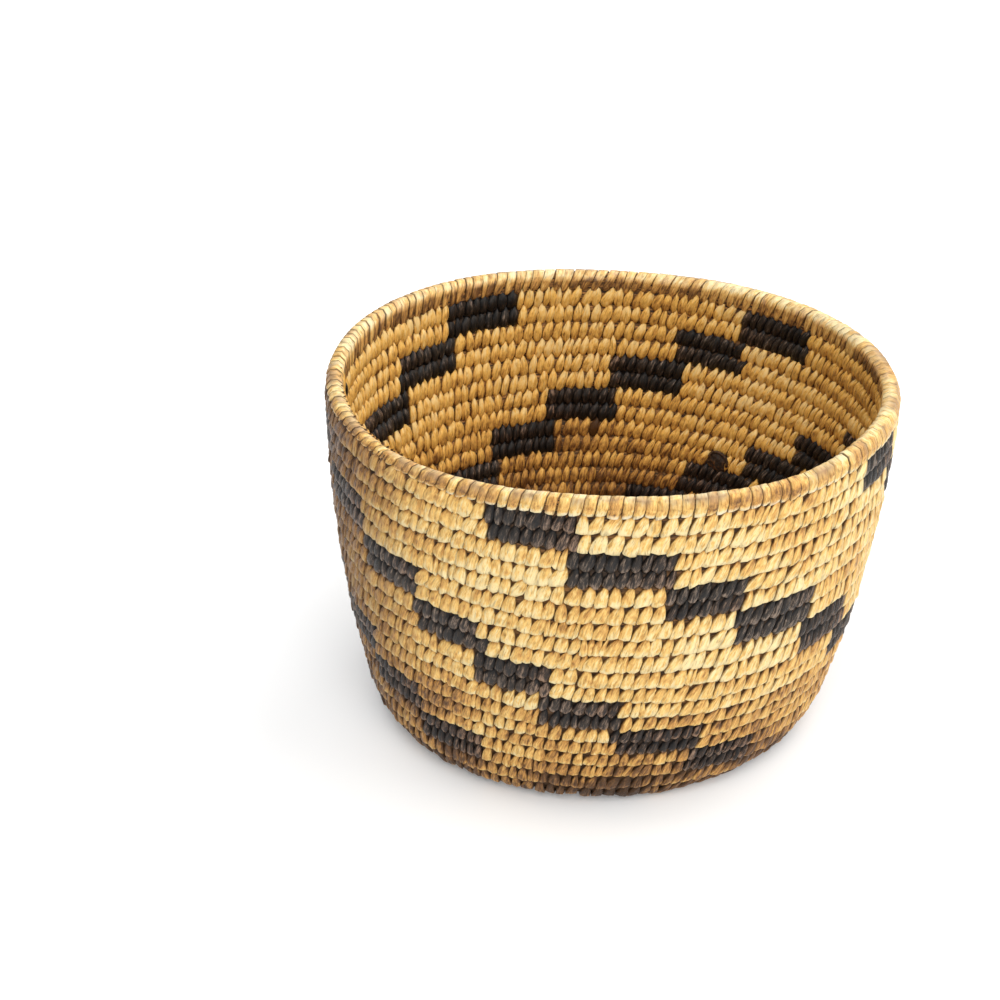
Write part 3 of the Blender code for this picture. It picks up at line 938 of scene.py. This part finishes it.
class BASKET_OT_foundation(bpy.types.Operator):
    """Lay the grass bundle that the stitches are sewn over, from the base's middle to the rim"""

    bl_idname = "basket.foundation"
    bl_label = "Lay the grass bundle"

    def execute(self, context):
        thickness = context.scene.basket_sizes.bundle_thickness
        wall = grass_coil("grass_bundle_wall", RIM_START, WALL_END, thickness)
        base = grass_coil("grass_bundle_base", WALL_END, COIL_START + 1.1, thickness)
        names = [f"wall_course_{k:02d}" for k in range(1, WALL_TURNS)]
        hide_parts(*names)
        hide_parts("base_coil")
        return {"FINISHED"}


def outer_lean(turns):
    """Lean of the outer stitches' tops, stronger on the right-hand side of the front."""
    angle = off_angle(turns * 360, 0)
    return 0.46 + 0.30 * peak(angle, -45, 40) - 0.20 * broad_top(turns)


def inner_lean(turns):
    """Lean of the inner stitches' tops, which stand upright on one side."""
    angle = (turns * 360) % 360
    return -0.06 - 0.56 * np.clip((145 - angle) / 85, 0, 1)


class BASKET_OT_outer_stitches(bpy.types.Operator):
    """Sew the outside of the wall in light and dark splint"""

    bl_idname = "basket.outer_stitches"
    bl_label = "Sew the outside"

    def execute(self, context):
        sizes = context.scene.basket_sizes
        sewn = sewing(RIM_START, WALL_END, sizes.light_pitch, sizes.dark_pitch, sizes.split_share)
        light, dark = model_stitch(OUTER_LIGHT), model_stitch(OUTER_DARK, FULL_SPLINT)
        sew_wall("outer", sewn, light, dark, 1, ("outer_splint", "black_splint"), 11)
        return {"FINISHED"}


class BASKET_OT_inner_stitches(bpy.types.Operator):
    """Sew the inside of the wall in light and dark splint"""

    bl_idname = "basket.inner_stitches"
    bl_label = "Sew the inside"

    def execute(self, context):
        sizes = context.scene.basket_sizes
        pitch = sizes.inner_pitch
        sewn = sewing(RIM_START, WALL_END, pitch, pitch * DARK_INNER_SHARE, sizes.split_share / 2)
        sewn = sewn[abs(sewn[:, 0] - HOLE_TURNS) * math.tau * radius_at(sewn[:, 0]) > HOLE_GAP]
        light, dark = model_stitch(INNER_LIGHT, ROUND_SPLINT), model_stitch(INNER_DARK, FULL_SPLINT)
        sew_wall("inner", sewn, light, dark, -1, ("inner_splint", "black_inner_splint"), 31)
        self.plug()
        return {"FINISHED"}

    def plug(self):
        """A dark knot that stops a hole between two stitches, with a splint bent over it."""
        start_clean()
        bpy.ops.mesh.primitive_ico_sphere_add(subdivisions=3, radius=HOLE_SIZE / 2)
        knot = bpy.context.object
        edit_all()
        bpy.ops.transform.resize(value=(0.95, 0.42, 1.05))
        bpy.ops.transform.vertex_random(offset=0.34 * MM, seed=4)
        start_clean()
        bpy.ops.mesh.primitive_torus_add(
            major_segments=28, minor_segments=8, major_radius=HOLE_SIZE * 0.52, minor_radius=0.5 * MM,
            rotation=(math.radians(90), 0, 0), location=(0, 0.4 * MM, 0.3 * MM))
        edit_all()
        bpy.ops.mesh.bisect(
            plane_co=(0, 0, 0.4 * MM), plane_no=(0.35, 0, -1), clear_outer=True, use_fill=True)
        bpy.ops.object.mode_set(mode="OBJECT")
        knot.select_set(True)
        bpy.context.view_layer.objects.active = knot
        bpy.ops.object.join()
        knot.name = knot.data.name = "hole_plug"
        knot.location = Vector(on_basket(HOLE_TURNS, line_at(HOLE_TURNS), -HOLE_DEPTH))
        knot.rotation_euler = (0, 0, math.tau * HOLE_TURNS + math.radians(90))
        bpy.ops.object.transform_apply(location=True, rotation=True, scale=True)
        dressed(knot, "knot_fibre")


class BASKET_OT_base_stitches(bpy.types.Operator):
    """Sew both faces of the base"""

    bl_idname = "basket.base_stitches"
    bl_label = "Sew the base"

    def execute(self, context):
        sew_flat("base", WALL_END, COIL_START, 51)
        return {"FINISHED"}


class BASKET_OT_start_knot(bpy.types.Operator):
    """Sew the tight first turn in the middle of the base and the button that it winds on to"""

    bl_idname = "basket.start_knot"
    bl_label = "Sew the start"

    def execute(self, context):
        sew_flat("start", COIL_START, COIL_START + 1.0, 61)
        start_clean()
        bpy.ops.mesh.primitive_uv_sphere_add(
            segments=24, ring_count=12, radius=BUTTON_RADIUS, location=(0, 0, BUTTON_HEIGHT))
        button = bpy.context.object
        button.name = button.data.name = "start_button"
        edit_all()
        bpy.ops.transform.resize(value=(1, 1, BUTTON_FLAT))
        bpy.ops.object.mode_set(mode="OBJECT")
        bpy.ops.object.transform_apply(location=True, rotation=True, scale=True)
        layer = button.data.uv_layers[0]
        layer.name = "splint"
        for corner in layer.data:
            corner.uv = corner.uv * 12
        dressed(button, "grass_bundle")
        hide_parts("base_start")
        return {"FINISHED"}


def rim_swell(turns, swells):
    """Sum of the swells of the rim's crown at an angle."""
    return sum(size * peak(off_angle(turns * 360, middle), 0, width) for middle, width, size in swells)


def rim_path(turns, share, drop_out, drop_in, lift):
    """Place of a point of a wrap round the rim: from its outer end over the top to its inner end."""
    thin = rim_swell(turns, (RIM_TAPER,))
    half = RIM_HALF * (1 - TAPER_SIDE * thin) + lift
    crown = RIM_TOP * (1 - TAPER_TOP * thin) + lift
    edge = line_at(turns, 0.5)
    shoulder = np.minimum(RIM_TOP - RIM_CROWN - rim_swell(turns, CROWN_SWELLS), edge)
    out_low, in_low = edge + drop_out, edge + drop_in
    leg = (1 - RIM_BEND) / 2
    up = np.clip(share / leg, 0, 1)
    fall = np.clip((share - (1 + RIM_BEND) / 2) / leg, 0, 1)
    turn = math.pi * np.clip((share - leg) / RIM_BEND, 0, 1)
    distance = np.where(
        share < 0.5, out_low + (shoulder - out_low) * up, shoulder + (in_low - shoulder) * fall)
    return distance - np.sin(turn) * crown, half * np.cos(turn)


class BASKET_OT_rim(bpy.types.Operator):
    """Overcast the rim, whose course thins out towards its end so that the top stays level"""

    bl_idname = "basket.rim"
    bl_label = "Overcast the rim"

    def execute(self, context):
        draw = np.random.default_rng(71)
        points, faces, border = model_stitch(RIM_WRAP, RIM_SPLINT, tucked=False)
        span = RIM_START - RIM_END
        count = round(math.tau * RIM_RADIUS * span / context.scene.basket_sizes.rim_pitch)
        widths = draw.normal(1.0, 0.12, (count, 1)).clip(0.7, 1.35)
        pitch = span * widths / widths.sum()
        turns = RIM_END + np.cumsum(pitch, axis=0) - pitch / 2
        vary = hand(draw, count, RIM_HAND)
        across, along, lift = points[:, 0][None], points[:, 1][None], points[:, 2][None]
        width = (1 + vary("width")).clip(0.9, 1.1)
        width = width - GAP_NARROW * (abs(turns - RIM_GAP_TURNS) < pitch / 2)
        lean = np.where(along < 0.5, *WRAP_LEANS) * (1 + vary("lean")) * (along - 0.5)
        place = turns + pitch * (across * width + lean + vary("place"))
        corner = 0.7 * ((across - 0.15) / 0.35).clip(0, 1) ** 1.5
        drop_out = (WRAP_REACH[0] + vary("outer end") + across * vary("skew") - corner) * MM
        drop_in = (WRAP_REACH[1] + vary("inner end")) * MM
        lift = lift + (vary("lift") + across * 0.10) * MM
        world = on_basket(place, *rim_path(place, along, drop_out, drop_in, lift))
        uv = np.stack([
            across * width * pitch * math.tau * RIM_RADIUS / MM + draw.uniform(0, 400, (count, 1)),
            along * 18.0 + draw.uniform(0, 400, (count, 1))], -1)
        values = {
            "tone": draw.uniform(0, 1, (count, 1)),
            "border": border[None],
            # Painted highlights at the wrap's lower outer end and along the inner edge of its top; painted
            # shade down its inner side and in a band on its outer side below the top.
            "recess": 0.6 * (((along - 0.66) / 0.12).clip(0, 1) + 0.8 * peak(along, 0.23, 0.09)),
            "bright": ((0.12 - along) / 0.08).clip(0, 1) + 1.2 * peak(along, 0.60, 0.05),
            "worn": peak(along, 0.42, 0.12),
            "course": turns / WALL_TURNS,
        }
        all_faces = copies(faces, count, len(points), False)
        wraps = mesh_piece("rim_wraps", world, all_faces, "rim_overcast", uv, values)
        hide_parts("rim_course")
        self.core()
        return {"FINISHED"}

    def core(self):
        """The thinning end of the grass bundle inside the wraps."""
        turns = np.linspace(RIM_END, RIM_START, BUNDLE_STEPS + 1)[:, None]
        ring = np.linspace(0, 1, BUNDLE_SIDES + 1)[None]
        world = on_basket(turns, *rim_path(turns, ring, 0.0, 0.0, -RIM_INSET))
        rows, columns = world.shape[:2]
        grid = np.arange(rows * columns).reshape(rows, columns)
        faces = np.stack([grid[:-1, :-1], grid[1:, :-1], grid[1:, 1:], grid[:-1, 1:]], -1).reshape(-1, 4)
        uv = np.stack(np.broadcast_arrays(ring * 12.0, turns * math.tau * RIM_RADIUS / MM), -1)
        mesh_piece("rim_bundle", world, faces[:, ::-1], "grass_bundle", uv, {})


def softbox(name, place, size, power, colour):
    """A square soft light turned towards the basket."""
    bpy.ops.object.light_add(type="AREA", location=place)
    lamp = bpy.context.object
    lamp.name = name
    lamp.data.size = size
    lamp.data.energy = power
    lamp.data.color = colour
    lamp.rotation_euler = (Vector(LIGHT_AIM) - Vector(place)).to_track_quat("-Z", "Y").to_euler()


def camera_matrix():
    """The camera's place and turn, from its yaw, its tilt down and its roll."""
    yaw, down, roll = CAMERA_YAW, CAMERA_DOWN, CAMERA_ROLL
    ahead = Vector((math.sin(yaw) * math.cos(down), math.cos(yaw) * math.cos(down), -math.sin(down)))
    right = Vector((math.cos(yaw), -math.sin(yaw), 0.0))
    up = right.cross(ahead)
    across = math.cos(roll) * right + math.sin(roll) * up
    above = -math.sin(roll) * right + math.cos(roll) * up
    turned = Matrix((across, above, -ahead)).transposed().to_4x4()
    return Matrix.Translation(CAMERA_PLACE) @ turned


def floor_finish(colour):
    """Pale paper that the camera sees a little brighter than it lights the basket, more so away from it; its
    glow also shows in the basket's glossy reflections as a painted reflection.
    """
    make = Finish("floor_paper")
    paper = make.mixed(make.cloud(3.0), scaled(colour, 0.97), colour)
    make.shade({"Base Color": paper, "Roughness": 0.9, "Specular IOR Level": 0.1})
    away = make.node("ShaderNodeVectorMath", {0: make.place()}, operation="LENGTH").outputs["Value"]
    far = make.span(away, 0.10, 0.7, 0.17, 0.60)
    glow = make.node("ShaderNodeEmission", {"Color": (1.0, 1.0, 1.0, 1.0), "Strength": far})
    lit = make.shader.outputs["BSDF"]
    both = make.node("ShaderNodeAddShader", {0: lit, 1: glow.outputs["Emission"]})
    path = make.node("ShaderNodeLightPath").outputs
    seen = make.sums("MAXIMUM", path["Is Camera Ray"], path["Is Glossy Ray"])
    pick = make.node("ShaderNodeMixShader", {0: seen, 1: lit, 2: both.outputs["Shader"]})
    output = next(node for node in make.tree.nodes if node.type == "OUTPUT_MATERIAL")
    join(make.tree, pick.outputs["Shader"], output.inputs["Surface"])
    return make.material


class BASKET_OT_stage(bpy.types.Operator):
    """Set up the pale floor, the soft lights and the camera"""

    bl_idname = "basket.stage"
    bl_label = "Set the stage"

    def execute(self, context):
        scene = context.scene
        start_clean()
        bpy.ops.mesh.primitive_plane_add(size=scene.basket_sizes.floor_size, location=(0, 0, -0.1 * MM))
        floor = context.object
        floor.name = "floor"
        floor.data.materials.append(floor_finish(tuple(scene.basket_colours.floor)))
        for light in LIGHTS:
            softbox(*light)
        self.world(scene)
        bpy.ops.object.camera_add()
        camera = context.object
        camera.name = "camera"
        camera.data.lens = CAMERA_LENS
        camera.data.sensor_width = 36.0
        camera.data.sensor_fit = "HORIZONTAL"
        camera.matrix_world = camera_matrix()
        scene.camera = camera
        scene.view_settings.view_transform = "Standard"
        return {"FINISHED"}

    def world(self, scene):
        """A pale surround, dimmer low on the left, that the camera sees as white."""
        world = scene.world or bpy.data.worlds.new("surround")
        scene.world = world
        world.use_nodes = True
        tree = world.node_tree
        tree.nodes.clear()
        path = add_node(tree, "ShaderNodeLightPath").outputs
        rays = {0: path["Is Camera Ray"], 1: path["Is Transmission Ray"]}
        seen = add_node(tree, "ShaderNodeMath", rays, operation="MAXIMUM")
        place = add_node(tree, "ShaderNodeTexCoord").outputs["Generated"]
        sides = {0: place, 1: WORLD_BRIGHT_SIDE}
        towards = add_node(tree, "ShaderNodeVectorMath", sides, operation="DOT_PRODUCT")
        dim = add_node(tree, "ShaderNodeMapRange", {
            "Value": towards.outputs["Value"], "From Min": -1.0, "From Max": 1.0,
            "To Min": WORLD_DIM, "To Max": WORLD_BRIGHT})
        level = add_node(tree, "ShaderNodeMapRange", {
            "Value": seen.outputs["Value"], "To Min": dim.outputs["Result"], "To Max": 1.0})
        sky = add_node(tree, "ShaderNodeBackground", {
            "Color": (1.0, 1.0, 1.0, 1.0), "Strength": level.outputs["Result"]})
        add_node(tree, "ShaderNodeOutputWorld", {"Surface": sky.outputs["Background"]})


class BASKET_PT_sewing(bpy.types.Panel):
    """Sizes, colours and steps of the basket"""

    bl_idname = "BASKET_PT_sewing"
    bl_label = "Coiled basket"
    bl_space_type = "VIEW_3D"
    bl_region_type = "UI"
    bl_category = "Basket"

    def draw(self, context):
        layout = self.layout
        for group in (context.scene.basket_sizes, context.scene.basket_colours):
            box = layout.box()
            for name in group.bl_rna.properties.keys():
                if name not in ("rna_type", "name"):
                    box.prop(group, name)
        for step in STEPS:
            layout.operator(step.bl_idname)


STEPS = (
    BASKET_OT_foundation,
    BASKET_OT_outer_stitches,
    BASKET_OT_inner_stitches,
    BASKET_OT_base_stitches,
    BASKET_OT_start_knot,
    BASKET_OT_rim,
    BASKET_OT_stage,
)
CLASSES = (BasketSizes, BasketColours, *STEPS, BASKET_PT_sewing)


def register():
    for each in CLASSES:
        bpy.utils.register_class(each)
    bpy.types.Scene.basket_sizes = PointerProperty(type=BasketSizes)
    bpy.types.Scene.basket_colours = PointerProperty(type=BasketColours)


def unregister():
    del bpy.types.Scene.basket_colours
    del bpy.types.Scene.basket_sizes
    for each in reversed(CLASSES):
        bpy.utils.unregister_class(each)


def main():
    register()
    for step in STEPS:
        group, name = step.bl_idname.split(".")
        getattr(getattr(bpy.ops, group), name)()


if __name__ == "__main__":
    main()
